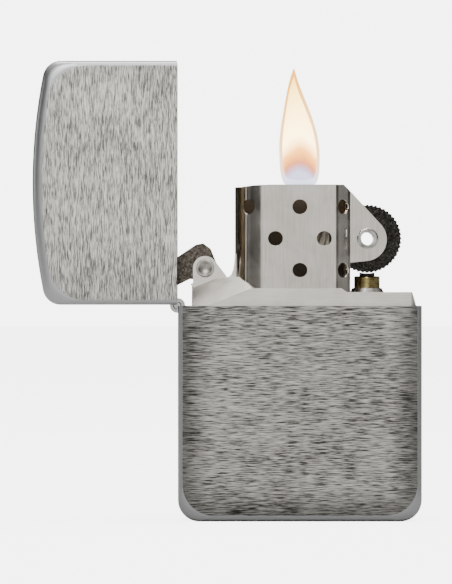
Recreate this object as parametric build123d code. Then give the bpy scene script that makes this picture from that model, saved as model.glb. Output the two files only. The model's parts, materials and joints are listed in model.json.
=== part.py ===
from build123d import *

import os
from math import acos, asin, atan2, cos, pi, radians, sin, sqrt

# Flip-top windproof pocket lighter, modelled open.
# Frame: origin at the middle of the case's flat bottom, +Z up, +X from the hinge
# side to the wheel side, +Y from the front face to the back face. Millimetres.

# ---- driving dimensions: outer case and lid -------------------------------------
case_width = 38.0
case_depth = 12.7
case_height = 33.6
lid_height = 22.5
shell_wall = 0.65
seam_gap = 0.1
case_corner_radius = 3.4
lid_corner_radius = 2.8
face_corner_radius = 4.8
crown_radius = 86.0
side_edge_width = 0.75
crown_edge_width = 1.5
bottom_edge_width = 1.0
edge_round_depth = 1.1
mouth_trim = 0.2

# ---- driving dimensions: lid hinge ----------------------------------------------
hinge_outset = 0.1
hinge_pin_radius = 0.6
hinge_pin_clearance = 0.05
knuckle_wall = 0.5
knuckle_count = 5
knuckle_length = 1.94
knuckle_gap = 0.06
leaf_thickness = 0.4
leaf_height = 6.5
hinge_relief = 0.1
lid_open_angle = 90.0
cam_stop_thickness = 0.8
cam_stop_start = 1.0
cam_stop_length = 5.2
cam_stop_width = 5.6
hinge_pin_chamfer = 0.1

# ---- driving dimensions: insert -------------------------------------------------
insert_hinge_gap = 1.5
insert_side_gap = 0.2
insert_face_gap = 0.15
insert_bottom_gap = 0.75
insert_corner_radius = 2.0
insert_plan_radius = 0.9
sheet = 0.4
deck_rise = 2.15
step_rise = 2.73
saddle_rise = 4.5
saddle_end_dip = 0.9
saddle_edge = 0.8
saddle_foot = 2.7
step_edge = 0.6
step_foot = 1.4
deck_end_run = 0.65
pinch_inset = 2.35
pinch_run = 7.1
pinch_rise = 2.8
pinch_height = 3.7
pinch_wall_share = 1.2
neck_profile = ((-1.3, -0.5), (-1.1, 0.0), (-0.6, 0.35), (-0.3, 1.1), (-0.12, 2.2), (0.0, 3.6))

# ---- driving dimensions: windscreen and wheel bracket ---------------------------
screen_left = -10.1
screen_right = 7.9
screen_rise = 18.9
screen_face_inset = 0.25
screen_end_radius = 4.6
screen_jog_start = 5.9
screen_jog_radius = 0.8
screen_hole_radius = 1.13
screen_hole_rim = 0.09
screen_hole_pitch_x = 3.8
screen_hole_pitch_z = 4.93
screen_hole_middle_z = 10.5
screen_end_hole_turn = 34.0
screen_jog_hole_turn = 45.0
screen_end_ramp = ((1.0, -0.35), (3.0, -0.1))
screen_jog_inset = 0.3
screen_shoulder_drop = 1.0
screen_overlap = 1.0
ear_outer_half_gap = 3.55
ear_radius = 3.4
ear_centre_inset = 0.4
ear_centre_drop = 0.12
ear_foot_gap = 0.25

# ---- driving dimensions: spark wheel, flint and wick ----------------------------
wheel_x = 10.6
wheel_rise = 10.5
wheel_radius = 5.35
wheel_teeth = 48
wheel_tooth_depth = 0.22
wheel_tooth_share = 0.62
wheel_grooves = 5
wheel_groove_pitch = 1.0
wheel_groove_width = 0.22
wheel_groove_depth = 0.2
wheel_side_clearance = 0.15
wheel_rivet_radius = 1.3
wheel_rivet_bore = 1.02
wheel_rivet_head = 1.66
rivet_clearance = 0.05
rivet_head_thickness = 0.35
rivet_head_round = 0.21
flint_radius = 1.2
flint_length = 5.5
flint_wheel_gap = 0.06
tube_radius = 1.75
tube_bore = 1.35
tube_head_radius = 2.02
tube_head_height = 1.85
tube_wheel_gap = 0.5
tube_lip_radius = 0.25
collar_bottom_radius = 2.65
collar_top_radius = 2.3
plunger_length = 2.0
turned_edge = 0.3
spring_wire = 0.32
spring_turns = 16
screw_head_radius = 2.5
screw_head_height = 1.5
screw_head_recess = 0.3
screw_shank_length = 3.5
screw_slot_width = 0.7
wick_radius = 1.7
wick_rise = 13.0
wick_route = ((0.0, -7.0), (-9.0, -12.0), (-9.0, -18.0), (4.0, -24.0))
wick_bend_radius = 4.0
felt_thickness = 2.6
felt_recess = 0.4
fill_clearance = 0.15
packing_layers = 5
packing_layer_gap = 0.1
packing_top_gap = 2.0

# ---- driving dimensions: cam ----------------------------------------------------
cam_pivot_inset = 2.08
cam_pivot_rise = 5.89
cam_thickness = 2.6
cam_side_clearance = 0.3
cam_edge_radius = 0.25
cam_rivet_radius = 0.7
cam_rivet_head = 1.4
cam_dish_radius = 1.15
cam_dish_depth = 0.28
tab_radius = 1.9
tab_slope_run = 1.45
tab_slope_rise = 0.15
slot_floor_rise = 0.15
slot_reach = 2.3
cam_outline = (
    (-1.45, 3.68), (-0.3, 3.9), (0.9, 3.0), (1.9, 0.5), (1.6, -1.6), (0.2, -2.0),
    (-1.6, -1.75), (-2.41, -1.71), (-5.6, -3.3), (-6.0, -2.7), (-6.0, 1.0), (-4.36, 1.74),
)
cam_rivet_edge_radius = 0.12
cam_spring_thickness = 0.25
cam_spring_width = 2.2
cam_spring_lift = 0.01
cam_spring_end_gap = 0.05
cam_spring_flat = 2.2
cam_spring_leaf = ((1.48, -2.36), (-1.68, -2.45), (-2.26, -2.74))

# ---- places that follow from the sizes above ------------------------------------
half_width = case_width / 2
half_depth = case_depth / 2
rim_z = case_height
hinge_x = -half_width - hinge_outset
hinge_z = rim_z + seam_gap / 2
hinge_axis = Axis((hinge_x, 0, hinge_z), (0, 1, 0))
knuckle_bore = hinge_pin_radius + hinge_pin_clearance
knuckle_radius = knuckle_bore + knuckle_wall
knuckle_pitch = knuckle_length + knuckle_gap
hinge_length = knuckle_count * knuckle_pitch - knuckle_gap
leaf_x = -half_width + shell_wall

insert_right = half_width - shell_wall - insert_side_gap
insert_left = -half_width + shell_wall + insert_hinge_gap
insert_half_depth = half_depth - shell_wall - insert_face_gap
insert_bottom = shell_wall + insert_bottom_gap
deck_z = rim_z + deck_rise
step_z = rim_z + step_rise
saddle_z = rim_z + saddle_rise
screen_top = rim_z + screen_rise
screen_half_depth = insert_half_depth - screen_face_inset
wheel_z = rim_z + wheel_rise
ear_inner_half_gap = ear_outer_half_gap - sheet
wheel_half_width = ear_inner_half_gap - wheel_side_clearance
cam_x = insert_left + cam_pivot_inset
cam_z = rim_z + cam_pivot_rise
slot_half_width = cam_thickness / 2 + cam_side_clearance
tab_half_width = slot_half_width + sheet
slot_floor = deck_z + slot_floor_rise
slot_end_x = cam_x + tab_radius + slot_reach
flint_top = wheel_z - wheel_radius + wheel_tooth_depth / 2
tube_top = wheel_z - wheel_radius - tube_wheel_gap
tube_bottom = insert_bottom + screw_head_recess + screw_head_height


# ---- shared shapes --------------------------------------------------------------
def upright(radius, low, high, x=0.0, y=0.0):
    """A cylinder along Z, from height low to height high."""
    return Pos(x, y, (low + high) / 2) * Cylinder(radius, high - low)


def crosswise(radius, half_length, x, z, y=0.0):
    """A cylinder along Y about the point (x, y, z)."""
    return Pos(x, y, z) * Rot(90, 0, 0) * Cylinder(radius, 2 * half_length)


def block(x0, x1, y0, y1, z0, z1):
    """A box between two corners."""
    return Pos((x0 + x1) / 2, (y0 + y1) / 2, (z0 + z1) / 2) * Box(x1 - x0, y1 - y0, z1 - z0)


def front_plate(points, half_depth_y):
    """A plate whose outline is a polygon of (x, z) points, centred on the middle plane."""
    outline = make_face(Polyline([(x, 0, z) for x, z in points], close=True))
    return extrude(outline, amount=half_depth_y, dir=(0, 1, 0), both=True)


def tangent_point(centre, radius, outside, side):
    """Where a line from an outside (x, z) point touches a circle, on one side or the other."""
    dx, dz = outside[0] - centre[0], outside[1] - centre[1]
    angle = atan2(dz, dx) + side * acos(radius / sqrt(dx * dx + dz * dz))
    return centre[0] + radius * cos(angle), centre[1] + radius * sin(angle)


def shell_outline(half, height, crown, corner, y):
    """A closed outline at depth y: open end at z = 0, closed end up, with or without a crown."""
    corner_x = half - corner
    if crown:
        crown_z = height - crown
        corner_z = crown_z + sqrt((crown - corner) ** 2 - corner_x**2)
        lean = asin(corner_x / (crown - corner))
        join = (crown * sin(lean), crown_z + crown * cos(lean))
    else:
        corner_z = height - corner
        lean = 0.0
        join = (corner_x, height)
    bend = (pi / 2 - lean) / 2
    half_way = (corner_x + corner * cos(bend), corner_z + corner * sin(bend))
    top = (
        ThreePointArc((-join[0], y, join[1]), (0, y, height), (join[0], y, join[1]))
        if crown
        else Line((-join[0], y, join[1]), (join[0], y, join[1]))
    )
    edges = [
        Line((-half, y, 0), (-half, y, corner_z)),
        ThreePointArc((-half, y, corner_z), (-half_way[0], y, half_way[1]), (-join[0], y, join[1])),
        top,
        ThreePointArc((join[0], y, join[1]), (half_way[0], y, half_way[1]), (half, y, corner_z)),
        Line((half, y, corner_z), (half, y, 0)),
        Line((half, y, 0), (-half, y, 0)),
    ]
    return Face(Wire(edges))


def pressed_blank(
    width, depth, height, crown, corner, face_corner, side_edge, end_edge, round_depth
):
    """A solid of a deep-drawn shell: both faces roll over into the sides, more so at the corners."""
    sections = []
    for turn in (0, 30, 60, 90):
        inward = 1 - sin(radians(turn))
        y = -depth / 2 + round_depth * (1 - cos(radians(turn)))
        half = width / 2 - side_edge * inward
        reach = height - end_edge * inward
        radius = corner + (face_corner - corner) * inward
        sections.append(shell_outline(half, reach, crown, radius, y))
    front = loft(sections)
    middle = extrude(sections[-1], amount=depth - 2 * round_depth, dir=(0, 1, 0))
    return front + middle + mirror(front, about=Plane.XZ)


def pressed_shell(height, crown, corner, end_edge):
    """A thin shell with its open end at z = 0 and its closed end up."""
    outer = pressed_blank(
        case_width, case_depth, height, crown, corner, face_corner_radius,
        side_edge_width, end_edge, edge_round_depth,
    )
    inner = pressed_blank(
        case_width - 2 * shell_wall, case_depth - 2 * shell_wall, height - shell_wall,
        crown - shell_wall if crown else crown, corner - shell_wall,
        face_corner_radius - shell_wall, side_edge_width - shell_wall / 2,
        end_edge - shell_wall / 2, edge_round_depth - shell_wall / 2,
    )
    mouth = block(
        -half_width + shell_wall, half_width - shell_wall,
        -half_depth + shell_wall + mouth_trim, half_depth - shell_wall - mouth_trim, -1, 1,
    )
    return outer - inner - mouth


def knuckle_range(index):
    """Lowest and highest y of one hinge knuckle."""
    low = -hinge_length / 2 + index * knuckle_pitch
    return low, low + knuckle_length


def hinge_plate(own, side):
    """A hinge leaf with its knuckles: side is -1 for the case's, below the axis, and 1 for the lid's."""
    far = hinge_z + side * leaf_height
    clear = knuckle_radius + hinge_relief
    plate = block(
        leaf_x, leaf_x + leaf_thickness, -hinge_length / 2, hinge_length / 2,
        min(hinge_z, far), max(hinge_z, far),
    )
    for index in range(knuckle_count):
        low, high = knuckle_range(index)
        middle = (low + high) / 2
        if index in own:
            plate += crosswise(knuckle_radius, knuckle_length / 2, hinge_x, hinge_z, middle)
        else:
            plate -= crosswise(clear, knuckle_length / 2 + knuckle_gap, hinge_x, hinge_z, middle)
    return plate - crosswise(knuckle_bore, hinge_length, hinge_x, hinge_z)


def opened(part):
    """Turns a lid piece from closed to open about the hinge."""
    return part.rotate(hinge_axis, -lid_open_angle)


def eyelet(x, z, radius, bore, head, half_grip):
    """A tubular rivet along Y with a rolled head on each side, and its bore."""
    edge = rivet_head_thickness
    body = crosswise(radius, half_grip + edge, x, z)
    for side in (-1, 1):
        body += crosswise(head, edge / 2, x, z, side * (half_grip + edge / 2))
    rims = body.edges().filter_by(GeomType.CIRCLE)
    outer = [e for e in rims if e.radius > radius + 0.1 and abs(e.center().Y) > half_grip + edge / 2]
    return fillet(outer, rivet_head_round) - crosswise(bore, half_grip + 1, x, z)


# ---- case and lid ---------------------------------------------------------------
def hinge_notch():
    """The space that both shells leave for the knuckles."""
    radius = knuckle_radius + hinge_relief
    return crosswise(radius, hinge_length / 2 + hinge_relief, hinge_x, hinge_z)


def make_case_shell():
    shell = pressed_shell(case_height, None, case_corner_radius, bottom_edge_width)
    return Pos(0, 0, case_height) * mirror(shell, about=Plane.XY) - hinge_notch()


def make_lid_shell():
    shell = pressed_shell(lid_height, crown_radius, lid_corner_radius, crown_edge_width)
    return opened(Pos(0, 0, rim_z + seam_gap) * shell - hinge_notch())


def make_case_hinge_plate():
    return hinge_plate([i for i in range(knuckle_count) if i % 2 == 0], -1)


def make_lid_hinge_plate():
    return opened(hinge_plate([i for i in range(knuckle_count) if i % 2 == 1], 1))


def make_hinge_pin():
    pin = crosswise(hinge_pin_radius, hinge_length / 2, hinge_x, hinge_z)
    return chamfer(pin.edges(), hinge_pin_chamfer)


def make_lid_cam_stop():
    x0 = leaf_x + leaf_thickness
    z0 = hinge_z + cam_stop_start
    stop = block(
        x0, x0 + cam_stop_thickness, -cam_stop_width / 2, cam_stop_width / 2,
        z0, z0 + cam_stop_length,
    )
    corners = stop.edges().filter_by(Axis.Y).sort_by(Axis.X)[-2:]
    return opened(fillet(corners, cam_stop_thickness / 2))


# ---- insert ---------------------------------------------------------------------
def make_tabs():
    """The two ears that hold the cam, still one block, down to the slot's floor."""
    centre = (cam_x, cam_z)
    foot = (cam_x + tab_radius + tab_slope_run, saddle_z + tab_slope_rise)
    touch = tangent_point(centre, tab_radius, foot, 1)
    outline = [
        (cam_x - tab_radius, slot_floor), (cam_x - tab_radius, cam_z), centre, touch, foot,
        (foot[0], slot_floor),
    ]
    return front_plate(outline, tab_half_width) + crosswise(tab_radius, tab_half_width, *centre)


def make_neck():
    """The narrow end of the can drawn up against the windscreen."""
    wall = screen_left + sheet
    curve = [(screen_left + x, saddle_z + z) for x, z in neck_profile]
    outline = [(wall, curve[0][1]), *curve, (wall, curve[-1][1])]
    return front_plate(outline, tab_half_width)


def pinch_plane(side, inset):
    """The sloping plane where the can narrows towards the cam's ears."""
    low = Vector(insert_left + pinch_inset, side * (insert_half_depth - inset), rim_z - inset)
    along = Vector(pinch_run, 0, pinch_rise)
    top_rise = pinch_height - pinch_inset * pinch_rise / pinch_run
    up = Vector(-pinch_inset, -side * (insert_half_depth - tab_half_width), top_rise)
    normal = along.cross(up)
    return Plane(origin=low, z_dir=normal if normal.Z > 0 else -normal)


def pinched(part, inset):
    """The part with both sloping planes cut away."""
    for side in (-1, 1):
        part = split(part, bisect_by=pinch_plane(side, inset), keep=Keep.BOTTOM)
    return part


def make_insert_outer():
    top = [
        (insert_left, saddle_z - saddle_end_dip),
        (cam_x - tab_radius, saddle_z),
        (screen_left + saddle_edge, saddle_z),
        (screen_left + saddle_foot, step_z),
        (screen_jog_start + step_edge, step_z),
        (screen_jog_start + step_foot, deck_z),
        (insert_right - deck_end_run, deck_z),
        (insert_right, rim_z),
    ]
    outline = [(insert_right, insert_bottom), (insert_left, insert_bottom), *top]
    body = front_plate(outline, insert_half_depth)
    low_corners = [
        e for e in body.edges().filter_by(Axis.Y) if abs(e.center().Z - insert_bottom) < 0.01
    ]
    body = fillet(low_corners, insert_corner_radius)
    ends = (insert_left, insert_right)
    upright_edges = [
        e for e in body.edges().filter_by(Axis.Z) if any(abs(e.center().X - x) < 0.01 for x in ends)
    ]
    body = fillet(upright_edges, insert_plan_radius)
    return pinched(body, 0) + make_tabs() + make_neck()


def make_insert_inner():
    left = insert_left + sheet
    right = insert_right - sheet
    outline = [
        (right, insert_bottom - 1),
        (left, insert_bottom - 1),
        (left, saddle_z - sheet),
        (screen_left + saddle_edge - sheet / 2, saddle_z - sheet),
        (screen_left + saddle_foot - sheet / 2, step_z - sheet),
        (screen_jog_start + step_edge - sheet / 2, step_z - sheet),
        (screen_jog_start + step_foot - sheet / 2, deck_z - sheet),
        (right - deck_end_run, deck_z - sheet),
        (right, rim_z),
    ]
    body = front_plate(outline, insert_half_depth - sheet)
    slot_wall = block(
        insert_left - 1, slot_end_x + sheet, -tab_half_width, tab_half_width,
        slot_floor - sheet, cam_z + 5,
    )
    return pinched(body, sheet * pinch_wall_share) - slot_wall


def make_insert_can(outer):
    slot = block(
        insert_left - 1, slot_end_x, -slot_half_width, slot_half_width, slot_floor, cam_z + 5
    )
    can = outer - make_insert_inner() - slot
    can -= crosswise(cam_rivet_radius + rivet_clearance, tab_half_width + 1, cam_x, cam_z)
    can -= upright(wick_radius + fill_clearance, deck_z - 2, step_z + 1)
    return can - upright(tube_radius + rivet_clearance, deck_z - 2, step_z + 1, wheel_x)


def make_screen(outer):
    """The windscreen: one strip bent round the wick, whose ends are the wheel's ears."""
    tail = wheel_x + ear_radius + 1
    run = ear_outer_half_gap
    wall = [
        (screen_left, 0), (screen_left, -screen_half_depth),
        (screen_jog_start, -screen_half_depth),
        (screen_right - screen_jog_inset, -run), (tail, -run),
    ]
    path = FilletPolyline(*wall, radius=[screen_end_radius, screen_jog_radius, screen_jog_radius])
    strip = make_face(offset(Wire(path.edges()), amount=sheet, side=Side.LEFT))
    height = screen_top - deck_z + screen_overlap
    half = extrude(Pos(0, 0, deck_z - screen_overlap) * strip, amount=height)
    both = half + mirror(half, about=Plane.XZ)
    ear = (wheel_x - ear_centre_inset, wheel_z - ear_centre_drop)
    shoulder = (screen_right, screen_top - screen_shoulder_drop)
    foot = (screen_right, ear[1] - ear_radius - ear_foot_gap)
    ramp = [(screen_left + x, screen_top + z) for x, z in screen_end_ramp]
    low_z = deck_z - screen_overlap
    outline = [
        (screen_left - 1, low_z), (screen_left - 1, ramp[0][1]), *ramp,
        (screen_left + screen_end_radius + 1, screen_top),
        (screen_jog_start + screen_shoulder_drop, screen_top), shoulder,
        tangent_point(ear, ear_radius, shoulder, -1), ear, tangent_point(ear, ear_radius, foot, 1),
        foot, (screen_right, low_z),
    ]
    shape = front_plate(outline, insert_half_depth) + crosswise(ear_radius, insert_half_depth, *ear)
    screen = both & shape
    screen -= outer
    screen -= block(insert_left, insert_right, -half_depth, half_depth, rim_z, deck_z)
    for hole in screen_holes():
        screen -= hole
    return screen - crosswise(wheel_rivet_radius + 0.02, insert_half_depth, wheel_x, wheel_z)


def drill(x, y, z, lean):
    """One air hole's drill with a countersink for its outer rim, square to a strip turned by lean."""
    side = 1 if y > 0 else -1
    bit = Cylinder(screen_hole_radius, 3)
    rim = screen_hole_rim
    bit += Pos(0, 0, rim / 2) * Cone(screen_hole_radius, screen_hole_radius + 2 * rim, 2 * rim)
    return Pos(x, y, z) * Rot(0, 0, side * lean) * Rot(-90 * side, 0, 0) * bit


def screen_holes():
    """Air holes in three rows; the back's are staggered, so that none lines up with the front's."""
    middle_z = rim_z + screen_hole_middle_z
    top_z = middle_z + screen_hole_pitch_z
    low_z = middle_z - screen_hole_pitch_z
    turn = radians(screen_end_hole_turn)
    bend_x = screen_left + screen_end_radius
    bend_y = screen_half_depth - screen_end_radius
    end = (bend_x - screen_end_radius * sin(turn), bend_y + screen_end_radius * cos(turn))
    jog_end = screen_right - screen_jog_inset
    jog = ((screen_jog_start + jog_end) / 2, (screen_half_depth + ear_outer_half_gap) / 2)
    front, pitch = screen_half_depth, screen_hole_pitch_x
    holes = [drill(x, -front, middle_z, 0) for x in (-pitch, pitch)]
    holes += [drill(0, -front, z, 0) for z in (low_z, top_z)]
    holes += [drill(jog[0], -jog[1], z, -screen_jog_hole_turn) for z in (low_z, top_z)]
    holes += [drill(end[0], -end[1], top_z, screen_end_hole_turn)]
    holes += [drill(x, front, z, 0) for x in (-pitch, pitch) for z in (low_z, top_z)]
    holes += [drill(0, front, middle_z, 0)]
    holes += [drill(jog[0], jog[1], middle_z, -screen_jog_hole_turn)]
    return holes + [drill(end[0], end[1], middle_z, screen_end_hole_turn)]


def make_wheel():
    """A toothed roller whose teeth are cut across into short blocks."""
    points = []
    for tooth in range(wheel_teeth):
        for share, radius in ((0.0, wheel_radius), (wheel_tooth_share, wheel_radius - wheel_tooth_depth)):
            angle = 2 * pi * (tooth + share) / wheel_teeth
            points.append((wheel_x + radius * cos(angle), wheel_z + radius * sin(angle)))
    disc = front_plate(points, wheel_half_width)
    groove_floor = wheel_radius - wheel_groove_depth
    for index in range(wheel_grooves):
        y = (index - (wheel_grooves - 1) / 2) * wheel_groove_pitch
        ring = crosswise(wheel_radius + 1, wheel_groove_width / 2, wheel_x, wheel_z, y)
        disc -= ring - crosswise(groove_floor, wheel_groove_width, wheel_x, wheel_z, y)
    return disc - crosswise(wheel_rivet_radius + rivet_clearance, 9, wheel_x, wheel_z)


def make_flint_tube():
    tube = upright(tube_radius, tube_bottom, tube_top, wheel_x)
    tube += upright(tube_head_radius, tube_top - tube_head_height, tube_top, wheel_x)
    rim = tube.edges().filter_by(GeomType.CIRCLE).sort_by(Axis.Z)[-1]
    tube = fillet(rim, tube_lip_radius)
    return tube - upright(tube_bore, tube_bottom - 1, tube_top + 1, wheel_x)


def make_tube_collar():
    low, high = deck_z, tube_top - tube_head_height
    middle = Pos(wheel_x, 0, (low + high) / 2)
    cone = middle * Cone(collar_bottom_radius, collar_top_radius, high - low)
    return cone - upright(tube_radius, low - 1, high + 1, wheel_x)


def make_flint():
    stick = upright(flint_radius, flint_top - flint_length, flint_top, wheel_x)
    return stick - crosswise(wheel_radius + flint_wheel_gap, 5, wheel_x, wheel_z)


def make_plunger():
    top = flint_top - flint_length
    plunger = upright(flint_radius, top - plunger_length, top, wheel_x)
    low = plunger.edges().filter_by(GeomType.CIRCLE).sort_by(Axis.Z)[0]
    return chamfer(low, turned_edge)


def make_flint_spring():
    low = tube_bottom + screw_shank_length + spring_wire / 2
    high = flint_top - flint_length - plunger_length - spring_wire / 2
    coil_radius = flint_radius - spring_wire / 2
    helix = Helix(pitch=(high - low) / spring_turns, height=high - low, radius=coil_radius)
    wire = sweep(Plane(origin=helix @ 0, z_dir=helix % 0) * Circle(spring_wire / 2), path=helix)
    return Pos(wheel_x, 0, low) * wire


def make_flint_screw():
    head_low = insert_bottom + screw_head_recess
    head = upright(screw_head_radius, head_low, tube_bottom, wheel_x)
    head = fillet(head.edges().filter_by(GeomType.CIRCLE).sort_by(Axis.Z)[0], turned_edge)
    shank = upright(flint_radius, tube_bottom, tube_bottom + screw_shank_length, wheel_x)
    slot = block(
        wheel_x - screw_head_radius, wheel_x + screw_head_radius,
        -screw_slot_width / 2, screw_slot_width / 2, head_low - 1, head_low + screw_head_height / 2,
    )
    return head + shank - slot


def wick_core(radius):
    """A rod along the wick's route, from the windscreen down and back through the packing."""
    top = rim_z + wick_rise
    corners = [(x, 0, rim_z + z) for x, z in wick_route]
    route = FilletPolyline((0, 0, top), *corners, radius=wick_bend_radius)
    return sweep(Plane(origin=route @ 0, z_dir=route % 0) * Circle(radius), path=route)


def make_packing():
    """Cotton in layers, with room for the wick and the flint tube."""
    floor = insert_bottom + felt_recess + felt_thickness + fill_clearance
    roof = deck_z - 2 * sheet - fill_clearance - packing_top_gap
    inset = sheet + fill_clearance
    mass = block(
        insert_left + inset, insert_right - inset, -insert_half_depth + inset,
        insert_half_depth - inset, floor, roof,
    )
    mass = fillet(mass.edges().filter_by(Axis.Z), insert_plan_radius)
    mass -= upright(tube_radius + fill_clearance, floor - 1, roof + 1, wheel_x)
    mass -= wick_core(wick_radius + fill_clearance)
    layer = (roof - floor) / packing_layers
    for index in range(1, packing_layers):
        z = floor + index * layer
        gap = packing_layer_gap / 2
        mass -= block(-half_width, half_width, -half_depth, half_depth, z - gap, z + gap)
    return mass


def make_felt_pad():
    low = insert_bottom + felt_recess
    inset = sheet + fill_clearance
    pad = block(
        insert_left + inset, insert_right - inset, -insert_half_depth + inset,
        insert_half_depth - inset, low, low + felt_thickness,
    )
    corner = insert_corner_radius - inset
    low_corners = pad.edges().filter_by(Axis.Y).group_by(Axis.Z)[0]
    pad = fillet(low_corners, corner)
    hole = upright(screw_head_radius + fill_clearance, low - 1, low + felt_thickness + 1, wheel_x)
    return pad - hole


# ---- cam ------------------------------------------------------------------------
def make_cam():
    plate = front_plate([(cam_x + x, cam_z + z) for x, z in cam_outline], cam_thickness / 2)
    sharp = plate.edges().filter_by(Axis.Y)
    plate = fillet(sharp, cam_edge_radius)
    return plate - crosswise(cam_rivet_radius + rivet_clearance, 5, cam_x, cam_z)


def make_cam_rivet():
    """A solid rivet with a shallow round dish in each head."""
    edge = rivet_head_thickness
    rivet = crosswise(cam_rivet_radius, tab_half_width + edge, cam_x, cam_z)
    dish_radius = (cam_dish_radius**2 + cam_dish_depth**2) / (2 * cam_dish_depth)
    for side in (-1, 1):
        face_y = side * (tab_half_width + edge)
        rivet += crosswise(cam_rivet_head, edge / 2, cam_x, cam_z, face_y - side * edge / 2)
        dish_y = face_y + side * (dish_radius - cam_dish_depth)
        rivet -= Pos(cam_x, dish_y, cam_z) * Sphere(dish_radius)
    rims = [e for e in rivet.edges().filter_by(GeomType.CIRCLE) if e.radius > cam_rivet_head - 0.01]
    faces = [e for e in rims if abs(e.center().Y) > tab_half_width + edge / 2]
    return fillet(faces, cam_rivet_edge_radius)


def make_wheel_rivet():
    return eyelet(
        wheel_x, wheel_z, wheel_rivet_radius, wheel_rivet_bore, wheel_rivet_head, ear_outer_half_gap
    )


def make_cam_spring():
    """A leaf under the cam's foot, held at the slot's end and bent down at its free end."""
    low = slot_floor + cam_spring_lift
    line = [(slot_end_x - cam_spring_end_gap, low), (slot_end_x - cam_spring_flat, low)]
    line += [(cam_x + x, cam_z + z) for x, z in cam_spring_leaf]
    upper = [(x, z + cam_spring_thickness) for x, z in reversed(line)]
    return front_plate(line + upper, cam_spring_width / 2)


# ---- build and write ------------------------------------------------------------
def build():
    outer = make_insert_outer()
    return {
        "case_shell": make_case_shell(),
        "case_hinge_plate": make_case_hinge_plate(),
        "hinge_pin": make_hinge_pin(),
        "lid_shell": make_lid_shell(),
        "lid_hinge_plate": make_lid_hinge_plate(),
        "lid_cam_stop": make_lid_cam_stop(),
        "insert_can": make_insert_can(outer),
        "windscreen": make_screen(outer),
        "wheel_rivet": make_wheel_rivet(),
        "spark_wheel": make_wheel(),
        "flint_tube": make_flint_tube(),
        "tube_collar": make_tube_collar(),
        "flint": make_flint(),
        "flint_plunger": make_plunger(),
        "flint_spring": make_flint_spring(),
        "flint_screw": make_flint_screw(),
        "wick": wick_core(wick_radius),
        "cotton_packing": make_packing(),
        "felt_pad": make_felt_pad(),
        "cam": make_cam(),
        "cam_rivet": make_cam_rivet(),
        "cam_spring": make_cam_spring(),
    }


os.makedirs("parts", exist_ok=True)
for name, part in build().items():
    export_step(part, f"parts/{name}.step")
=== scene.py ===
"""Looks of a flip-top windproof petrol lighter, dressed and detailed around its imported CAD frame."""

import json
import logging
import math
import random
from dataclasses import dataclass, field
from enum import Enum

import bpy
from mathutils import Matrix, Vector

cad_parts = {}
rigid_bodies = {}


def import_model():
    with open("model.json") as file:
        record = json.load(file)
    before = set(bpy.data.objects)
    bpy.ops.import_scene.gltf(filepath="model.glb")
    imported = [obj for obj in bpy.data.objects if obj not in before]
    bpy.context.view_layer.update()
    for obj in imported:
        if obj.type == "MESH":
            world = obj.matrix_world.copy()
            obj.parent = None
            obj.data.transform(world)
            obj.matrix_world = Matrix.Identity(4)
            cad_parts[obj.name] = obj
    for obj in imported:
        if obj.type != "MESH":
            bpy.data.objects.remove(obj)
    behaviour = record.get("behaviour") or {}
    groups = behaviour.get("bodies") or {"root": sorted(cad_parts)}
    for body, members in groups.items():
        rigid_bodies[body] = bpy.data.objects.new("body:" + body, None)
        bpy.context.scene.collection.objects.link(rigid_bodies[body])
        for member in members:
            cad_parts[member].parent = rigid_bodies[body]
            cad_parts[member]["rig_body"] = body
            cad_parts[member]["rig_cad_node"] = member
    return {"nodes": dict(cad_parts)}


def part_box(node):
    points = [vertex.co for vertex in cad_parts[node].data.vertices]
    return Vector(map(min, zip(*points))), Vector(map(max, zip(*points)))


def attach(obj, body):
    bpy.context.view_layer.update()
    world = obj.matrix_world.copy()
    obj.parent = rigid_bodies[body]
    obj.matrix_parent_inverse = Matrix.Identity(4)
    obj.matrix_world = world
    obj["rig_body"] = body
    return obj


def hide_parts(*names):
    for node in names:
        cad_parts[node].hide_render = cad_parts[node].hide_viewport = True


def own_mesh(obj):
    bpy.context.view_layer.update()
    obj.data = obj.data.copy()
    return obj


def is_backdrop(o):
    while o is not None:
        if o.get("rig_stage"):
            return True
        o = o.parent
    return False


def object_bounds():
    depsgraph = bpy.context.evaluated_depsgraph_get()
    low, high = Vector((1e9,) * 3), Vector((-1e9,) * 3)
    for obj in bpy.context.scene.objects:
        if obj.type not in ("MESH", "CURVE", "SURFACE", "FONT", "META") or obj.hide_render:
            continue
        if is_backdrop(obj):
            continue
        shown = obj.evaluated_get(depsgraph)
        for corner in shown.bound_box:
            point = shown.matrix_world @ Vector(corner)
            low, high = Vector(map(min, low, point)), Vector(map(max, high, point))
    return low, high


MM = 0.001
WICK_LENGTH = 52 * MM
FLAME_X = 0.1 * MM
FLAME_SINK = 0.2 * MM
LOG = logging.getLogger("lighter")


class Grain(Enum):
    """Which way the brushing belt ran over a face, with the lighter open."""

    ALONG_X = "along_x"
    ALONG_Z = "along_z"


class Turned(Enum):
    """Which axis a turned part spun about in the lathe."""

    ABOUT_Y = "about_y"
    ABOUT_Z = "about_z"


# ---- small tools -----------------------------------------------------------------


def linear(hex_colour: str) -> tuple[float, float, float, float]:
    """Turns an sRGB hex colour to linear light.

    Args:
        hex_colour: The colour as "#rrggbb".

    Returns:
        Red, green, blue and an alpha of 1, in linear light.
    """
    values = [int(hex_colour[i : i + 2], 16) / 255 for i in (1, 3, 5)]
    light = [v / 12.92 if v <= 0.04045 else ((v + 0.055) / 1.055) ** 2.4 for v in values]
    return (light[0], light[1], light[2], 1.0)


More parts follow.
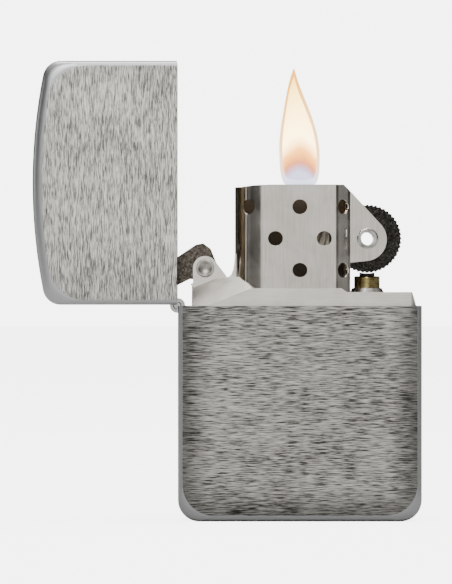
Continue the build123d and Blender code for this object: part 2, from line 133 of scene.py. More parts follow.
def add_node(
    tree: bpy.types.NodeTree, kind: str, settings: dict | None = None, links: dict | None = None
) -> bpy.types.Node:
    """Adds one shader node.

    Args:
        tree: The node tree it goes into.
        kind: Blender's type name for the node.
        settings: Attribute names and their values.
        links: Input names or numbers, each with a plain value or an output to join to it.

    Returns:
        The new node.
    """
    node = tree.nodes.new(kind)
    for name, value in (settings or {}).items():
        setattr(node, name, value)
    for socket, value in (links or {}).items():
        if isinstance(value, bpy.types.NodeSocket):
            tree.links.new(value, node.inputs[socket])
        else:
            node.inputs[socket].default_value = value
    return node


def new_surface(name: str) -> tuple[bpy.types.Material, bpy.types.NodeTree, bpy.types.Node]:
    """Starts a material.

    Args:
        name: The material's name.

    Returns:
        The material, its node tree and its shader.
    """
    material = bpy.data.materials.new(name)
    material.use_nodes = True
    tree = material.node_tree
    tree.nodes.clear()
    shader = add_node(tree, "ShaderNodeBsdfPrincipled")
    add_node(tree, "ShaderNodeOutputMaterial", links={"Surface": shader.outputs[0]})
    return material, tree, shader


def dress(obj: bpy.types.Object, material: bpy.types.Material) -> None:
    """Gives an object one material all over."""
    obj.data.materials.clear()
    obj.data.materials.append(material)


def deselect() -> None:
    """Leaves edit mode and deselects every object."""
    if bpy.context.object and bpy.context.object.mode != "OBJECT":
        bpy.ops.object.mode_set(mode="OBJECT")
    bpy.ops.object.select_all(action="DESELECT")


def pick(obj: bpy.types.Object) -> None:
    """Makes an object the only selected one, and the active one."""
    deselect()
    obj.select_set(True)
    bpy.context.view_layer.objects.active = obj


def settle(obj: bpy.types.Object, name: str) -> bpy.types.Object:
    """Applies an object's place and modifiers, so that it sits at the origin with its place in its mesh.

    Args:
        obj: The finished object.
        name: Its piece name.

    Returns:
        The same object.
    """
    pick(obj)
    bpy.ops.object.transform_apply(location=True, rotation=True, scale=True)
    for modifier in list(obj.modifiers):
        bpy.ops.object.modifier_apply(modifier=modifier.name)
    obj.name = name
    obj.data.name = name
    LOG.info("%s: %d faces", name, len(obj.data.polygons))
    return obj


def raise_rings(rings: list[tuple[Vector, float, float]], sides: int) -> bpy.types.Object:
    """Draws a closed form up through a stack of oval rings.

    Args:
        rings: Each ring's centre and its half sizes along X and Y, from the bottom up.
        sides: How many corners each ring has.

    Returns:
        The new object, in edit mode's finished state.
    """
    deselect()
    centre, half_x, half_y = rings[0]
    bpy.ops.mesh.primitive_circle_add(vertices=sides, radius=1.0, fill_type="NGON", location=centre)
    body = bpy.context.object
    body.scale = (half_x, half_y, 1.0)
    bpy.ops.object.transform_apply(location=True, rotation=True, scale=True)
    bpy.ops.object.mode_set(mode="EDIT")
    bpy.ops.mesh.select_all(action="SELECT")
    for (low, low_x, low_y), (high, high_x, high_y) in zip(rings, rings[1:]):
        bpy.ops.mesh.extrude_region_move(TRANSFORM_OT_translate={"value": high - low})
        bpy.ops.transform.resize(value=(high_x / low_x, high_y / low_y, 1.0), center_override=high)
    bpy.ops.mesh.select_all(action="SELECT")
    bpy.ops.mesh.normals_make_consistent(inside=False)
    bpy.ops.object.mode_set(mode="OBJECT")
    return body


# ---- metal finishes --------------------------------------------------------------


@dataclass(frozen=True)
class Panel:
    """A rounded rectangle in X and another axis, in metres: a brushed panel, or an inside painted dark as
    shade.
    """

    centre_x: float
    centre_z: float
    half_x: float
    half_z: float
    corner: float
    crown_radius: float = 0.0
    up: str = "Z"

    def distance(self, tree: bpy.types.NodeTree, coords: bpy.types.NodeSocket) -> bpy.types.NodeSocket:
        """Works out how far a point lies outside the panel's border.

        Args:
            tree: The material's node tree.
            coords: Object coordinates.

        Returns:
            The distance in metres, below zero on the panel.
        """
        place = add_node(tree, "ShaderNodeSeparateXYZ", links={0: coords})
        from_x = add_node(
            tree, "ShaderNodeMath", {"operation": "SUBTRACT"}, {0: place.outputs["X"], 1: self.centre_x}
        )
        from_z = add_node(
            tree, "ShaderNodeMath", {"operation": "SUBTRACT"}, {0: place.outputs[self.up], 1: self.centre_z}
        )
        across = from_x.outputs[0]
        if self.crown_radius:
            squared = add_node(tree, "ShaderNodeMath", {"operation": "POWER"}, {0: from_z.outputs[0], 1: 2.0})
            bow = add_node(
                tree, "ShaderNodeMath", {"operation": "MULTIPLY_ADD"},
                {0: squared.outputs[0], 1: -0.5 / self.crown_radius, 2: across},
            )
            across = bow.outputs[0]
        sides = []
        for value, half in ((across, self.half_x), (from_z.outputs[0], self.half_z)):
            size = add_node(tree, "ShaderNodeMath", {"operation": "ABSOLUTE"}, {0: value})
            over = add_node(
                tree, "ShaderNodeMath", {"operation": "SUBTRACT"}, {0: size.outputs[0], 1: half - self.corner}
            )
            sides.append(over.outputs[0])
        past = [add_node(tree, "ShaderNodeMath", {"operation": "MAXIMUM"}, {0: s, 1: 0.0}) for s in sides]
        reach = add_node(
            tree, "ShaderNodeCombineXYZ", links={"X": past[0].outputs[0], "Y": past[1].outputs[0]}
        )
        corner = add_node(tree, "ShaderNodeVectorMath", {"operation": "LENGTH"}, {0: reach.outputs[0]})
        inner = add_node(tree, "ShaderNodeMath", {"operation": "MAXIMUM"}, {0: sides[0], 1: sides[1]})
        inside = add_node(tree, "ShaderNodeMath", {"operation": "MINIMUM"}, {0: inner.outputs[0], 1: 0.0})
        both = add_node(
            tree, "ShaderNodeMath", {"operation": "ADD"}, {0: corner.outputs["Value"], 1: inside.outputs[0]}
        )
        edge = add_node(
            tree, "ShaderNodeMath", {"operation": "SUBTRACT"}, {0: both.outputs[0], 1: self.corner}
        )
        return edge.outputs[0]


@dataclass(frozen=True)
class BrushedChrome:
    """Chrome plate on a pressed brass shell: belt-brushed panels inside a smooth polished border.

    The eye sees short pale and dark hairlines on the panel, and a clean mirror line round it. The panel's
    colour is also painted darker towards its border: painted shade.
    """

    name: str
    panel: Panel
    grain: Grain
    pale: str
    deep: str
    polished: str = "#a2a3a4"
    polished_rough: float = 0.34
    satin_rough: tuple[float, float] = (0.50, 0.30)
    coarse_share: float = 0.22
    patch_share: float = 0.14
    contrast: tuple[float, float] = (0.49, 0.66)
    ragged_mm: float = 0.12
    depth_mm: float = 0.02
    bump: float = 0.8
    border_mm: tuple[float, float] = (0.02, 0.12)
    painted_edge_shade_colour: str = "#4a4a49"
    line_mm: float = 0.12
    length_mm: float = 2.2
    patch_mm: float = 7.0
    painted_shade_width_mm: float = 5.0
    painted_shade_strength: float = 0.62
    offset: float = 0.0

    def build(self) -> bpy.types.Material:
        """Makes the material. The real hairlines are about 0.05 mm; these are coarser, so that they show."""
        material, tree, shader = new_surface(self.name)
        coords = add_node(tree, "ShaderNodeTexCoord").outputs["Object"]
        border = self.panel.distance(tree, coords)
        length, line = 1 / (self.length_mm * MM), 1 / (self.line_mm * MM)
        stretch = (length, line, line) if self.grain is Grain.ALONG_X else (line, line, length)
        hairs = []
        for coarse in (1.0, 2.6):
            spread = tuple(value / coarse for value in stretch)
            mapping = add_node(
                tree, "ShaderNodeMapping",
                links={"Vector": coords, "Scale": spread, "Location": (self.offset, coarse, self.offset)},
            )
            noise = add_node(
                tree, "ShaderNodeTexNoise",
                links={"Vector": mapping.outputs[0], "Scale": 1.0, "Detail": 3.0, "Roughness": 0.6},
            )
            hairs.append(noise.outputs[0])
        lines = add_node(
            tree, "ShaderNodeMix", {"data_type": "FLOAT"}, {0: self.coarse_share, 2: hairs[0], 3: hairs[1]}
        ).outputs[0]
        patches = add_node(
            tree, "ShaderNodeTexNoise",
            links={"Vector": coords, "Scale": 1 / (self.patch_mm * MM), "Detail": 2.0},
        ).outputs[0]
        tone = add_node(
            tree, "ShaderNodeMath", {"operation": "MULTIPLY_ADD"},
            {0: patches, 1: self.patch_share, 2: lines},
        ).outputs[0]
        spread_tone = add_node(
            tree, "ShaderNodeMapRange",
            links={"Value": tone, "From Min": self.contrast[0], "From Max": self.contrast[1]},
        ).outputs[0]
        brushed = add_node(
            tree, "ShaderNodeMix", {"data_type": "RGBA"},
            {0: spread_tone, 6: linear(self.deep), 7: linear(self.pale)},
        ).outputs[2]
        # Painted shade: the brushed colour is darkened towards the panel's border.
        painted_edge_shade_mask = add_node(
            tree, "ShaderNodeMapRange", {"interpolation_type": "SMOOTHSTEP"},
            {"Value": border, "From Min": -self.painted_shade_width_mm * MM, "From Max": 0.0, "To Max": self.painted_shade_strength},
        ).outputs[0]
        shaded = add_node(
            tree, "ShaderNodeMix", {"data_type": "RGBA", "blend_type": "MULTIPLY"},
            {0: painted_edge_shade_mask, 6: brushed, 7: linear(self.painted_edge_shade_colour)},
        ).outputs[2]
        ragged = add_node(
            tree, "ShaderNodeMath", {"operation": "MULTIPLY_ADD"},
            {0: hairs[0], 1: self.ragged_mm * MM, 2: border},
        ).outputs[0]
        smooth = add_node(
            tree, "ShaderNodeMapRange", {"interpolation_type": "SMOOTHSTEP"},
            {
                "Value": ragged, "From Min": self.border_mm[0] * MM,
                "From Max": self.border_mm[1] * MM,
            },
        ).outputs[0]
        colour = add_node(
            tree, "ShaderNodeMix", {"data_type": "RGBA"}, {0: smooth, 6: shaded, 7: linear(self.polished)}
        ).outputs[2]
        satin = add_node(
            tree, "ShaderNodeMapRange",
            links={"Value": lines, "To Min": self.satin_rough[0], "To Max": self.satin_rough[1]},
        ).outputs[0]
        rough = add_node(
            tree, "ShaderNodeMix", {"data_type": "FLOAT"}, {0: smooth, 2: satin, 3: self.polished_rough}
        ).outputs[0]
        brushed_share = add_node(
            tree, "ShaderNodeMath", {"operation": "SUBTRACT"}, {0: 1.0, 1: smooth}
        ).outputs[0]
        height = add_node(
            tree, "ShaderNodeMath", {"operation": "MULTIPLY"}, {0: lines, 1: brushed_share}
        ).outputs[0]
        bump = add_node(
            tree, "ShaderNodeBump",
            links={"Height": height, "Distance": self.depth_mm * MM, "Strength": self.bump},
        )
        for socket, value in (("Base Color", colour), ("Roughness", rough), ("Normal", bump.outputs[0])):
            tree.links.new(value, shader.inputs[socket])
        shader.inputs["Metallic"].default_value = 1.0
        return material


@dataclass(frozen=True)
class SheetSteel:
    """Rolled stainless or spring steel sheet: a soft sheen with fine rolling lines and faint smears."""

    name: str
    pale: str
    deep: str
    rough_low: float
    rough_high: float
    grain: Grain = Grain.ALONG_X
    line_mm: float = 0.14
    length_mm: float = 5.0
    smear_mm: float = 4.0
    depth_mm: float = 0.004
    painted_shade_panel: Panel | None = None
    painted_shade_end: float = 0.0
    painted_shade_rough: float = 0.9
    painted_shade_deep: str = "#3a3733"
    painted_shade_pale: str = "#6b655c"

    def build(self) -> bpy.types.Material:
        """Makes the material, painted dark as shade inside the shade panel where there is one.

        The real rolling lines are finer still; these are drawn wide enough to show.
        """
        material, tree, shader = new_surface(self.name)
        coords = add_node(tree, "ShaderNodeTexCoord").outputs["Object"]
        length, line = 1 / (self.length_mm * MM), 1 / (self.line_mm * MM)
        stretch = (length, line, line) if self.grain is Grain.ALONG_X else (line, line, length)
        mapping = add_node(tree, "ShaderNodeMapping", links={"Vector": coords, "Scale": stretch})
        lines = add_node(
            tree, "ShaderNodeTexNoise",
            links={"Vector": mapping.outputs[0], "Scale": 1.0, "Detail": 3.0, "Roughness": 0.55},
        ).outputs[0]
        smears = add_node(
            tree, "ShaderNodeTexNoise",
            links={"Vector": coords, "Scale": 1 / (self.smear_mm * MM), "Detail": 4.0, "Distortion": 0.6},
        ).outputs[0]
        tone = add_node(
            tree, "ShaderNodeMix", {"data_type": "FLOAT"}, {0: 0.55, 2: lines, 3: smears}
        ).outputs[0]
        share = add_node(
            tree, "ShaderNodeMapRange", links={"Value": tone, "From Min": 0.34, "From Max": 0.66}
        ).outputs[0]
        colour = add_node(
            tree, "ShaderNodeMix", {"data_type": "RGBA"},
            {0: share, 6: linear(self.deep), 7: linear(self.pale)},
        ).outputs[2]
        rough = add_node(
            tree, "ShaderNodeMapRange",
            links={
                "Value": smears, "From Min": 0.3, "From Max": 0.7,
                "To Min": self.rough_low, "To Max": self.rough_high,
            },
        ).outputs[0]
        # Painted shade: inside the windscreen's hollow the sheet is coloured dark, standing in for the shade
        # there.
        if self.painted_shade_panel:
            place = add_node(tree, "ShaderNodeSeparateXYZ", links={0: coords})
            past_end = add_node(
                tree, "ShaderNodeMath", {"operation": "SUBTRACT"}, {0: place.outputs["X"], 1: self.painted_shade_end}
            ).outputs[0]
            edge = add_node(
                tree, "ShaderNodeMath", {"operation": "MAXIMUM"},
                {0: self.painted_shade_panel.distance(tree, coords), 1: past_end},
            ).outputs[0]
            painted_shade_mask = add_node(
                tree, "ShaderNodeMapRange",
                links={
                    "Value": edge, "From Min": -0.05 * MM, "From Max": 0.05 * MM,
                    "To Min": 1.0, "To Max": 0.0,
                },
            ).outputs[0]
            painted_shade_colour = add_node(
                tree, "ShaderNodeMix", {"data_type": "RGBA"},
                {0: smears, 6: linear(self.painted_shade_deep), 7: linear(self.painted_shade_pale)},
            ).outputs[2]
            colour = add_node(
                tree, "ShaderNodeMix", {"data_type": "RGBA"}, {0: painted_shade_mask, 6: colour, 7: painted_shade_colour}
            ).outputs[2]
            rough = add_node(
                tree, "ShaderNodeMix", {"data_type": "FLOAT"}, {0: painted_shade_mask, 2: rough, 3: self.painted_shade_rough}
            ).outputs[0]
        bump = add_node(
            tree, "ShaderNodeBump", links={"Height": lines, "Distance": self.depth_mm * MM, "Strength": 1.0}
        )
        for socket, value in (("Base Color", colour), ("Roughness", rough), ("Normal", bump.outputs[0])):
            tree.links.new(value, shader.inputs[socket])
        shader.inputs["Metallic"].default_value = 1.0
        return material


@dataclass(frozen=True)
class MottledSteel:
    """Hardened or blackened steel: dark, with small paler flecks where it has been rubbed."""

    name: str
    dark: str
    rubbed: str
    rough: float
    fleck_mm: float
    rubbed_share: float = 0.55
    metallic: float = 1.0
    depth_mm: float = 0.02

    def build(self) -> bpy.types.Material:
        """Makes the material, with flecks of its own size and a fine grainy relief."""
        material, tree, shader = new_surface(self.name)
        coords = add_node(tree, "ShaderNodeTexCoord").outputs["Object"]
        flecks = add_node(
            tree, "ShaderNodeTexNoise",
            links={"Vector": coords, "Scale": 1 / (self.fleck_mm * MM), "Detail": 5.0, "Roughness": 0.7},
        ).outputs[0]
        share = add_node(
            tree, "ShaderNodeMapRange",
            links={
                "Value": flecks, "From Min": self.rubbed_share - 0.12,
                "From Max": self.rubbed_share + 0.16,
            },
        ).outputs[0]
        colour = add_node(
            tree, "ShaderNodeMix", {"data_type": "RGBA"},
            {0: share, 6: linear(self.dark), 7: linear(self.rubbed)},
        ).outputs[2]
        rough = add_node(
            tree, "ShaderNodeMapRange",
            links={"Value": flecks, "To Min": self.rough + 0.12, "To Max": self.rough - 0.10},
        ).outputs[0]
        bump = add_node(
            tree, "ShaderNodeBump", links={"Height": flecks, "Distance": self.depth_mm * MM, "Strength": 0.7}
        )
        for socket, value in (("Base Color", colour), ("Roughness", rough), ("Normal", bump.outputs[0])):
            tree.links.new(value, shader.inputs[socket])
        shader.inputs["Metallic"].default_value = self.metallic
        return material


@dataclass(frozen=True)
class TurnedMetal:
    """Metal turned on a lathe, such as brass or a polished rivet: fine rings, and tarnish in patches."""

    name: str
    bright: str
    tarnish: str
    rough: float
    axis: Turned
    centre: tuple[float, float, float]
    ring_mm: float = 0.12
    patch_mm: float = 1.4

    def build(self) -> bpy.types.Material:
        """Makes the material, with rings about the part's own axis."""
        material, tree, shader = new_surface(self.name)
        coords = add_node(tree, "ShaderNodeTexCoord").outputs["Object"]
        back = tuple(-value for value in self.centre)
        centred = add_node(
            tree, "ShaderNodeMapping", {"vector_type": "POINT"}, {"Vector": coords, "Location": back}
        ).outputs[0]
        flat = (1.0, 0.0, 1.0) if self.axis is Turned.ABOUT_Y else (1.0, 1.0, 0.0)
        radial = add_node(
            tree, "ShaderNodeVectorMath", {"operation": "MULTIPLY"}, {0: centred, 1: flat}
        ).outputs[0]
        radius = add_node(tree, "ShaderNodeVectorMath", {"operation": "LENGTH"}, {0: radial}).outputs["Value"]
        place = add_node(tree, "ShaderNodeSeparateXYZ", links={0: centred})
        along = place.outputs["Y" if self.axis is Turned.ABOUT_Y else "Z"]
        step = 1 / (self.ring_mm * MM)
        lathe = add_node(tree, "ShaderNodeCombineXYZ", links={"X": radius, "Y": along})
        scaled = add_node(
            tree, "ShaderNodeVectorMath", {"operation": "MULTIPLY"},
            {0: lathe.outputs[0], 1: (step, step, step)},
        ).outputs[0]
        rings = add_node(
            tree, "ShaderNodeTexNoise", links={"Vector": scaled, "Scale": 1.0, "Detail": 2.0}
        ).outputs[0]
        patches = add_node(
            tree, "ShaderNodeTexNoise",
            links={"Vector": coords, "Scale": 1 / (self.patch_mm * MM), "Detail": 4.0},
        ).outputs[0]
        tone = add_node(
            tree, "ShaderNodeMix", {"data_type": "FLOAT"}, {0: 0.6, 2: rings, 3: patches}
        ).outputs[0]
        share = add_node(
            tree, "ShaderNodeMapRange", links={"Value": tone, "From Min": 0.36, "From Max": 0.66}
        ).outputs[0]
        colour = add_node(
            tree, "ShaderNodeMix", {"data_type": "RGBA"},
            {0: share, 6: linear(self.bright), 7: linear(self.tarnish)},
        ).outputs[2]
        rough = add_node(
            tree, "ShaderNodeMapRange",
            links={"Value": patches, "To Min": self.rough - 0.06, "To Max": self.rough + 0.12},
        ).outputs[0]
        bump = add_node(
            tree, "ShaderNodeBump", links={"Height": rings, "Distance": 0.004 * MM, "Strength": 0.8}
        )
        for socket, value in (("Base Color", colour), ("Roughness", rough), ("Normal", bump.outputs[0])):
            tree.links.new(value, shader.inputs[socket])
        shader.inputs["Metallic"].default_value = 1.0
        return material


# ---- soft finishes and fire ------------------------------------------------------


@dataclass(frozen=True)
class CottonFibre:
    """Loose or pressed fibre, such as wadding, felt or wick: matt, with a soft edge light and short hairs."""

    name: str
    pale: str
    shade: str
    fibre_mm: float
    clump_mm: float
    char_from: float = 0.0
    char_to: float = 0.0

    def build(self) -> bpy.types.Material:
        """Makes the material. Where char_to is set, the fibre blackens between the two heights in metres."""
        material, tree, shader = new_surface(self.name)
        coords = add_node(tree, "ShaderNodeTexCoord").outputs["Object"]
        fibres = add_node(
            tree, "ShaderNodeTexNoise",
            links={"Vector": coords, "Scale": 1 / (self.fibre_mm * MM), "Detail": 6.0, "Distortion": 2.2},
        ).outputs[0]
        clumps = add_node(
            tree, "ShaderNodeTexNoise",
            links={"Vector": coords, "Scale": 1 / (self.clump_mm * MM), "Detail": 3.0},
        ).outputs[0]
        tone = add_node(
            tree, "ShaderNodeMix", {"data_type": "FLOAT"}, {0: 0.5, 2: fibres, 3: clumps}
        ).outputs[0]
        share = add_node(
            tree, "ShaderNodeMapRange", links={"Value": tone, "From Min": 0.35, "From Max": 0.65}
        ).outputs[0]
        colour = add_node(
            tree, "ShaderNodeMix", {"data_type": "RGBA"},
            {0: share, 6: linear(self.shade), 7: linear(self.pale)},
        ).outputs[2]
        if self.char_to:
            height = add_node(tree, "ShaderNodeSeparateXYZ", links={0: coords}).outputs["Z"]
            ragged = add_node(
                tree, "ShaderNodeMath", {"operation": "MULTIPLY_ADD"}, {0: clumps, 1: 2.5 * MM, 2: height}
            ).outputs[0]
            burnt = add_node(
                tree, "ShaderNodeMapRange",
                links={"Value": ragged, "From Min": self.char_from, "From Max": self.char_to},
            ).outputs[0]
            colour = add_node(
                tree, "ShaderNodeMix", {"data_type": "RGBA"}, {0: burnt, 6: colour, 7: linear("#191512")}
            ).outputs[2]
        bump = add_node(
            tree, "ShaderNodeBump", links={"Height": fibres, "Distance": 0.12 * MM, "Strength": 0.8}
        )
        tree.links.new(colour, shader.inputs["Base Color"])
        tree.links.new(bump.outputs[0], shader.inputs["Normal"])
        shader.inputs["Roughness"].default_value = 0.92
        shader.inputs["Sheen Weight"].default_value = 0.4
        shader.inputs["Sheen Roughness"].default_value = 0.5
        return material


@dataclass(frozen=True)
class FlameGlow:
    """Burning petrol vapour: it gives its own light, is clear and blue low down, and opaque above."""

    name: str
    low: float
    high: float
    stops: tuple[tuple[float, str, float], ...]
    strength: float
    arch_mm: float = 0.26
    waver_mm: float = 3.0

    def build(self) -> bpy.types.Material:
        """Makes the material: colour and cover change with height, arch up in the middle and waver."""
        material, tree, shader = new_surface(self.name)
        coords = add_node(tree, "ShaderNodeTexCoord").outputs["Object"]
        place = add_node(tree, "ShaderNodeSeparateXYZ", links={0: coords})
        across = add_node(
            tree, "ShaderNodeMath", {"operation": "POWER"}, {0: place.outputs["X"], 1: 2.0}
        ).outputs[0]
        height = add_node(
            tree, "ShaderNodeMath", {"operation": "MULTIPLY_ADD"},
            {0: across, 1: self.arch_mm / MM, 2: place.outputs["Z"]},
        ).outputs[0]
        waver = add_node(
            tree, "ShaderNodeTexNoise",
            links={"Vector": coords, "Scale": 1 / (self.waver_mm * MM), "Detail": 1.0},
        ).outputs[0]
        uneven = add_node(
            tree, "ShaderNodeMath", {"operation": "MULTIPLY_ADD"}, {0: waver, 1: 1.2 * MM, 2: height}
        ).outputs[0]
        share = add_node(
            tree, "ShaderNodeMapRange", links={"Value": uneven, "From Min": self.low, "From Max": self.high}
        ).outputs[0]
        glow = add_node(tree, "ShaderNodeValToRGB", links={0: share})
        cover = add_node(tree, "ShaderNodeValToRGB", links={0: share})
        for ramp in (glow.color_ramp, cover.color_ramp):
            while len(ramp.elements) < len(self.stops):
                ramp.elements.new(1.0)
        for index, (place, colour, alpha) in enumerate(self.stops):
            glow.color_ramp.elements[index].position = place
            glow.color_ramp.elements[index].color = linear(colour)
            cover.color_ramp.elements[index].position = place
            cover.color_ramp.elements[index].color = (alpha, alpha, alpha, 1.0)
        tree.links.new(glow.outputs[0], shader.inputs["Emission Color"])
        tree.links.new(cover.outputs[0], shader.inputs["Alpha"])
        dim = add_node(
            tree, "ShaderNodeMix", {"data_type": "RGBA", "blend_type": "MULTIPLY"},
            {0: 1.0, 6: glow.outputs[0], 7: linear("#202020")},
        ).outputs[2]
        tree.links.new(dim, shader.inputs["Base Color"])
        shader.inputs["Emission Strength"].default_value = self.strength
        shader.inputs["Roughness"].default_value = 1.0
        shader.inputs["Specular IOR Level"].default_value = 0.0
        return material


# ---- sub-assemblies --------------------------------------------------------------


@dataclass
class Shells:
    """The case and the lid with their hinge: CAD solids dressed in chrome."""

    nodes: dict[str, bpy.types.Object]
    side_edge: float = 0.75 * MM
    bottom_edge: float = 1.0 * MM
    crown_edge: float = 1.5 * MM
    corner: float = 4.8 * MM
    crown_radius: float = 86 * MM

    def case_panel(self) -> Panel:
        """Finds the brushed panel of the case, which runs on past its open rim."""
        low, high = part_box("case_shell")
        return Panel(
            centre_x=(low[0] + high[0]) / 2, centre_z=high[2],
            half_x=(high[0] - low[0]) / 2 - self.side_edge,
            half_z=high[2] - low[2] - self.bottom_edge, corner=self.corner,
        )

    def lid_panel(self) -> Panel:
        """Finds the brushed panel of the open lid, whose closed end faces away from the insert."""
        low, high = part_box("lid_shell")
        return Panel(
            centre_x=high[0], centre_z=(low[2] + high[2]) / 2,
            half_x=high[0] - low[0] - self.crown_edge,
            half_z=(high[2] - low[2]) / 2 - self.side_edge, corner=self.corner,
            crown_radius=self.crown_radius,
        )

    def dress(self) -> None:
        """Gives each CAD solid of the two shells its finish."""
        # Lid and case are one chrome plate: the lid's colours are set brighter than the case's, and the
        # case's polished border darker, as painted light and shade for how the lamps catch the two brushing
        # directions.
        case = BrushedChrome(
            "brushed_chrome_case", self.case_panel(), Grain.ALONG_X, pale="#b6b4ae", deep="#363532",
            polished="#939495",
        )
        lid = BrushedChrome(
            "brushed_chrome_lid", self.lid_panel(), Grain.ALONG_Z, pale="#d2d0c9", deep="#605f5b",
            line_mm=0.10, length_mm=1.3, offset=7.0, painted_shade_strength=0.12,
        )
        plate = SheetSteel(
            "plated_hinge_steel", pale="#c9c9c7", deep="#9f9e9b", rough_low=0.14, rough_high=0.26
        ).build()
        dress(self.nodes["case_shell"], case.build())
        dress(self.nodes["lid_shell"], lid.build())
        for name in ("case_hinge_plate", "lid_hinge_plate", "lid_cam_stop", "hinge_pin"):
            dress(self.nodes[name], plate)
        LOG.info("case, lid and hinge dressed")


@dataclass
class InsertMetal:
    """The lift-out insert's metal parts: can, windscreen, rivets, cam, wheel and flint train."""

    nodes: dict[str, bpy.types.Object]
    sheet: float = 0.4 * MM
    jog_x: float = 6.0 * MM
    feed: float = 3.0 * MM
    flint_cup: float = 0.14 * MM

    def centre(self, name: str) -> tuple[float, float, float]:
        """Finds the middle of a CAD solid."""
        low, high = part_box(name)
        return tuple((a + b) / 2 for a, b in zip(low, high))

    def inside_of_screen(self) -> Panel:
        """Finds the space inside the windscreen, seen from above, out to the middle of its sheet."""
        low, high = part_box("windscreen")
        right = high[0]
        return Panel(
            centre_x=(low[0] + right) / 2, centre_z=0.0, half_x=(right - low[0]) / 2 - self.sheet / 2,
            half_z=(high[1] - low[1]) / 2 - self.sheet / 2, corner=4.4 * MM, up="Y",
        )

    def wear(self) -> None:
        """Gives the flint a mesh of its own."""
        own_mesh(self.nodes["flint"])

    def dress(self) -> None:
        """Gives each metal CAD solid of the insert its finish."""
        wheel = self.centre("spark_wheel")
        tube = self.centre("flint_tube")
        can = SheetSteel(
            "satin_stainless_can", pale="#d3cfc7", deep="#bbb6ac", rough_low=0.34, rough_high=0.44
        )
        # The windscreen's inside is painted dark as shade of the chimney's hollow.
        screen = SheetSteel(
            "satin_stainless_windscreen", pale="#cfcac2", deep="#b6b0a6", rough_low=0.10, rough_high=0.17,
            grain=Grain.ALONG_Z, depth_mm=0.001, painted_shade_panel=self.inside_of_screen(), painted_shade_end=self.jog_x,
        )
        spring = SheetSteel(
            "bright_spring_steel", pale="#a5a29c", deep="#77746f", rough_low=0.2, rough_high=0.34
        )
        cam = MottledSteel("hardened_cam_steel", "#37322d", "#756d64", rough=0.42, fleck_mm=0.30)
        grit = MottledSteel(
            "blackened_wheel_steel", "#1b1a18", "#5d5a55", rough=0.52, fleck_mm=0.22, rubbed_share=0.60
        )
        flint = MottledSteel(
            "ferrocerium_flint", "#4a4744", "#7b7772", rough=0.7, fleck_mm=0.18, metallic=0.6
        )
        brass = TurnedMetal(
            "turned_brass", "#b3a26c", "#5e5232", rough=0.22, axis=Turned.ABOUT_Z, centre=tube
        )
        rivet = TurnedMetal(
            "polished_rivet_steel", "#cbc9c4", "#5f5c58", rough=0.14, axis=Turned.ABOUT_Y, centre=wheel
        )
        pin = TurnedMetal(
            "polished_cam_rivet", "#bcb8b0", "#57534e", rough=0.34, axis=Turned.ABOUT_Y,
            centre=self.centre("cam_rivet"),
        )
        collar = TurnedMetal(
            "plated_collar", "#b7b3ac", "#6f6b66", rough=0.22, axis=Turned.ABOUT_Z, centre=tube
        )
        worn_by = {
            "insert_can": can, "windscreen": screen, "cam_spring": spring, "flint_spring": spring,
            "cam": cam, "spark_wheel": grit, "flint": flint, "flint_tube": brass,
            "flint_plunger": brass, "flint_screw": brass, "wheel_rivet": rivet, "cam_rivet": pin,
            "tube_collar": collar,
        }
        made: dict[str, bpy.types.Material] = {}
        for name, finish in worn_by.items():
            if finish.name not in made:
                made[finish.name] = finish.build()
            dress(self.nodes[name], made[finish.name])
        LOG.info("insert metal dressed: %d finishes", len(made))


@dataclass
class Packing:
    """The insert's soft filling: cotton wadding and the felt pad under it."""

    nodes: dict[str, bpy.types.Object]
    body: str = "insert"

    def soften(self, source: str, name: str, voxel: float, swell: float, clump: float) -> bpy.types.Object:
        """Makes a soft piece from a CAD solid's own shape.

        Args:
            source: The CAD node that the piece stands for.
            name: The piece's name.
            voxel: The size of the new mesh's squares, in metres.
            swell: How deep its lumps are, in metres.
            clump: How wide its lumps are, in metres.

        Returns:
            The finished piece.
        """
        pick(self.nodes[source])
        bpy.ops.object.duplicate()
        soft = bpy.context.object
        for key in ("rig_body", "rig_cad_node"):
            if key in soft:
                del soft[key]
        soft.parent = None
        bpy.ops.object.mode_set(mode="EDIT")
        bpy.ops.mesh.select_all(action="SELECT")
        bpy.ops.mesh.remove_doubles(threshold=0.001 * MM)
        bpy.ops.object.mode_set(mode="OBJECT")
        remesh = soft.modifiers.new("remesh", "REMESH")
        remesh.mode = "VOXEL"
        remesh.voxel_size = voxel
        ease = soft.modifiers.new("ease", "SMOOTH")
        ease.iterations = 6
        lumps = bpy.data.textures.new(name + "_lumps", "CLOUDS")
        lumps.noise_scale = clump
        push = soft.modifiers.new("push", "DISPLACE")
        push.texture = lumps
        push.texture_coords = "LOCAL"
        push.strength = swell
        push.mid_level = 0.75
        settle(soft, name)
        bpy.ops.object.shade_smooth()
        return soft

    def build(self) -> None:
        """Makes the wadding and the pad, and puts them on the insert."""
        cotton = CottonFibre("cotton_wadding", "#efece4", "#cfcabd", fibre_mm=0.35, clump_mm=2.5)
        felt = CottonFibre("pressed_wool_felt", "#d9d4c8", "#b3ac9d", fibre_mm=0.22, clump_mm=1.6)
        wads = self.soften("cotton_packing", "cotton_wads", 0.5 * MM, 0.35 * MM, 2.2 * MM)
        pad = self.soften("felt_pad", "felt_pad_cut", 0.3 * MM, 0.18 * MM, 0.9 * MM)
        for piece, finish, node, slot in (
            (wads, cotton, "cotton_packing", "cotton"), (pad, felt, "felt_pad", "felt"),
        ):
            dress(piece, finish.build())
            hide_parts(node)
            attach(piece, self.body)


